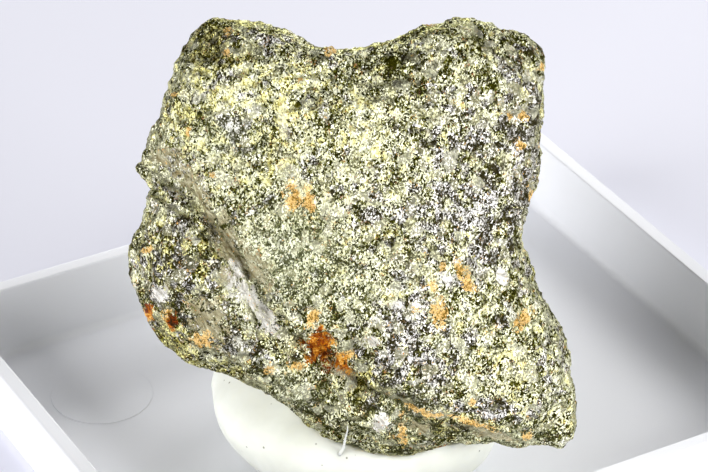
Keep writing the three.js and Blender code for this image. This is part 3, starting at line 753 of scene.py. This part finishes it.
is_grey = add(
    tree, "MapRange", {"interpolation_type": "SMOOTHSTEP", "From Min": 0.08, "From Max": 0.3},
    {"Value": mixed["greyness"]},
)
bloomed = add(tree, "Math", {"operation": "MULTIPLY", 1: 0.8}, {0: amount["sage"]})
# Here and there a larger crystal broke on one clean face, and its colour is painted light: pale
# and bright as a painted glint, dark and glassy as a painted shaded face.
clean_face_painted_light = add(tree, "ValToRGB", {"stops": [
    (0.1, "#3C3919"), (0.28, "#8A886C"), (0.46, "#C8C69E"), (0.62, "#ECE9BE"), (0.85, "#FFFEE2"),
]}, {"Fac": mixed["cleanness"]})
is_clean = add(
    tree, "MapRange", {"From Min": 0.74, "From Max": 0.78, "To Max": 0.32},
    {"Value": crystal_parts[1]},
)
# Quartz along the scar, milky or smoky, banded as it grew, and iron stain, from orange ochre to
# dark red rust.
by_scar = add(tree, "Attribute", {"attribute_name": "by_scar"}).outputs["Vector"]
banded = add(tree, "Mapping", {"Scale": (1.5, 0.6, 1.0)}, {"Vector": by_scar})
banding = add(
    tree, "TexNoise", {"Scale": 1.0, "Detail": 5, "Roughness": 0.72, "Distortion": 0.6},
    {"Vector": banded},
)
milky = add(
    tree, "ValToRGB", {"stops": [(0.23, "#6E685A"), (0.42, "#B2AEA4"), (0.58, "#FAF8F2")]},
    {"Fac": banding},
)
cloudy = add(tree, "ValToRGB", {"stops": [
    (0.25, "#443C24"), (0.42, "#7C7252"), (0.55, "#A29C7E"), (0.7, "#DED6B8"),
]}, {"Fac": banding})
ochre = add(
    tree, "ValToRGB", {"stops": [(0.28, "#664F16"), (0.48, "#C09446"), (0.66, "#F4CE8A")]},
    {"Fac": mixed["earthiness"]},
)
rust = add(tree, "ValToRGB", {"stops": [
    (0.2, "#240A00"), (0.38, "#661F00"), (0.5, "#923C00"), (0.6, "#B46C06"), (0.72, "#DCA040"),
    (0.9, "#F6C878"),
]}, {"Fac": mixed["oxidation"]})
taken = {}
for mineral in ("smoky", "quartz", "ochre", "rust"):
    wanted = add(tree, "Math", {}, {0: amount[mineral], 1: mixed["scatter"]})
    taken[mineral] = add(
        tree, "MapRange", {"interpolation_type": "SMOOTHSTEP", "From Min": 0.4, "From Max": 0.55},
        {"Value": wanted},
    )
stone_colour = brass
for over, share in (
    (gold, is_golden), (steel, is_grey), (bloom, bloomed), (clean_face_painted_light, is_clean),
    (cloudy, taken["smoky"]), (milky, taken["quartz"]), (ochre, taken["ochre"]),
    (rust, taken["rust"]),
):
    stone_colour = add(
        tree, "Mix", {"data_type": "RGBA"}, {0: share, 6: stone_colour, 7: over}
    ).outputs[2]

# The sulphides are metallic, less so under bloom and not at all under quartz or stain, and the
# earthy ochre is duller.
metal = add(tree, "Math", {"operation": "MULTIPLY_ADD", 1: -0.5, 2: 0.8}, {0: amount["sage"]})
for cover in taken.values():
    bare = add(tree, "Math", {"operation": "SUBTRACT", 0: 1.0}, {1: cover})
    metal = add(tree, "Math", {"operation": "MULTIPLY"}, {0: metal, 1: bare})
dull = add(
    tree, "Math", {"operation": "MULTIPLY_ADD", 1: 0.35},
    {0: taken["ochre"], 2: mixed["roughness"]},
)

# Each grain, flake and clean crystal face leans its own way.
bumped = add(
    tree, "Bump", {"Strength": 0.5, "Distance": 0.25 * MM}, {"Height": mixed["grain relief"]}
)
grain_face = bumped
for cell, tilt in ((grain, 0.35), (flake, 0.9)):
    leaning = add(
        tree, "VectorMath", {"operation": "SUBTRACT", 1: (0.5, 0.5, 0.5)},
        {0: cell.outputs["Color"]},
    )
    grain_face = add(
        tree, "VectorMath", {"operation": "MULTIPLY_ADD", 1: (tilt, tilt, tilt)},
        {0: leaning, 2: grain_face},
    )
crystal_leaning = add(
    tree, "VectorMath", {"operation": "SUBTRACT", 1: (0.5, 0.5, 0.5)},
    {0: crystal.outputs["Color"]},
)
crystal_face = add(
    tree, "VectorMath", {"operation": "MULTIPLY_ADD", 1: (0.5, 0.5, 0.5)},
    {0: crystal_leaning, 2: bumped},
)
either_face = add(
    tree, "Mix", {"data_type": "VECTOR"}, {0: is_clean, 4: grain_face, 5: crystal_face}
).outputs[1]
broken_face = add(tree, "VectorMath", {"operation": "NORMALIZE"}, {0: either_face})
broken = add(
    tree, "BsdfPrincipled", {"Specular Tint": "#BABA6C"},
    {"Base Color": stone_colour, "Metallic": metal, "Roughness": dull, "Normal": broken_face},
)
add(tree, "OutputMaterial", {}, {"Surface": broken})
stone.data.materials.append(ore)
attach(stone, "root")
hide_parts("chalcopyrite")

# ---- Table, light and camera -------------------------------------------------------------------
# A pale table top, a soft box on either side of the camera and two behind the tray, a little
# light from all round, and a long lens that looks down on the tray.

# The table top's width in metres, how strong the light from all round is, and how far round from
# the front the camera stands, in degrees.
TABLE_WIDTH = 4
ROOM_LIGHT = 0.09
CAMERA_SIDE = 29.5
# What the lights point at, and each light: which way it lies from the camera's side and how high,
# in degrees, how far away and how wide it is, in metres, and its power in watts.
LOOK_AT = Vector((-3, -6, 20)) * MM
LIGHTS = {
    "left softbox": (-53, 19, 0.6, 0.42, 4.1), "right softbox": (55, 17, 0.3, 0.17, 0.97),
    "rear softbox": (180, 14, 0.6, 0.3, 1.7), "rear right softbox": (130, 40, 0.6, 0.3, 1.2),
}
# The camera's lens and sensor, in millimetres, its place, and how far it is tipped up from
# straight down and turned, in degrees.
FOCAL_LENGTH, SENSOR_WIDTH = 169.9, 36
CAMERA_AT = Vector((-160.12, -276.0, 227.9)) * MM
CAMERA_TIP, CAMERA_TURN = 57.61, -29.46

bpy.ops.object.select_all(action="DESELECT")
bpy.ops.mesh.primitive_plane_add(size=TABLE_WIDTH, location=(0, 0, 0))
table = bpy.context.object
table.name = "table_top"
paper, tree = new_material("pale paper")
sheet = add(tree, "BsdfPrincipled", {"Base Color": "#F0F0FA", "Roughness": 0.9})
add(tree, "OutputMaterial", {}, {"Surface": sheet})
table.data.materials.append(paper)

world = bpy.data.worlds.new("room")
world.use_nodes = True
room = world.node_tree.nodes["Background"]
room.inputs["Color"].default_value = colour("#F4F5FF")
room.inputs["Strength"].default_value = ROOM_LIGHT
bpy.context.scene.world = world

for name, (aside, height, away, width, power) in LIGHTS.items():
    turn, lift = math.radians(aside - CAMERA_SIDE), math.radians(height)
    way = Vector(
        (math.sin(turn) * math.cos(lift), -math.cos(turn) * math.cos(lift), math.sin(lift))
    )
    lamp = bpy.data.lights.new(name, "AREA")
    lamp.shape, lamp.size, lamp.energy = "SQUARE", width, power
    softbox = bpy.data.objects.new(name, lamp)
    softbox.location = LOOK_AT + way * away
    softbox.rotation_euler = (-way).to_track_quat("-Z", "Y").to_euler()
    bpy.context.collection.objects.link(softbox)

lens = bpy.data.cameras.new("long lens")
lens.lens, lens.sensor_width = FOCAL_LENGTH, SENSOR_WIDTH
lens.clip_start, lens.clip_end = 0.01, 10
camera = bpy.data.objects.new("long lens", lens)
camera.location = CAMERA_AT
camera.rotation_euler = (math.radians(CAMERA_TIP), 0, math.radians(CAMERA_TURN))
bpy.context.collection.objects.link(camera)
bpy.context.scene.camera = camera
bpy.context.scene.view_settings.view_transform = "Standard"
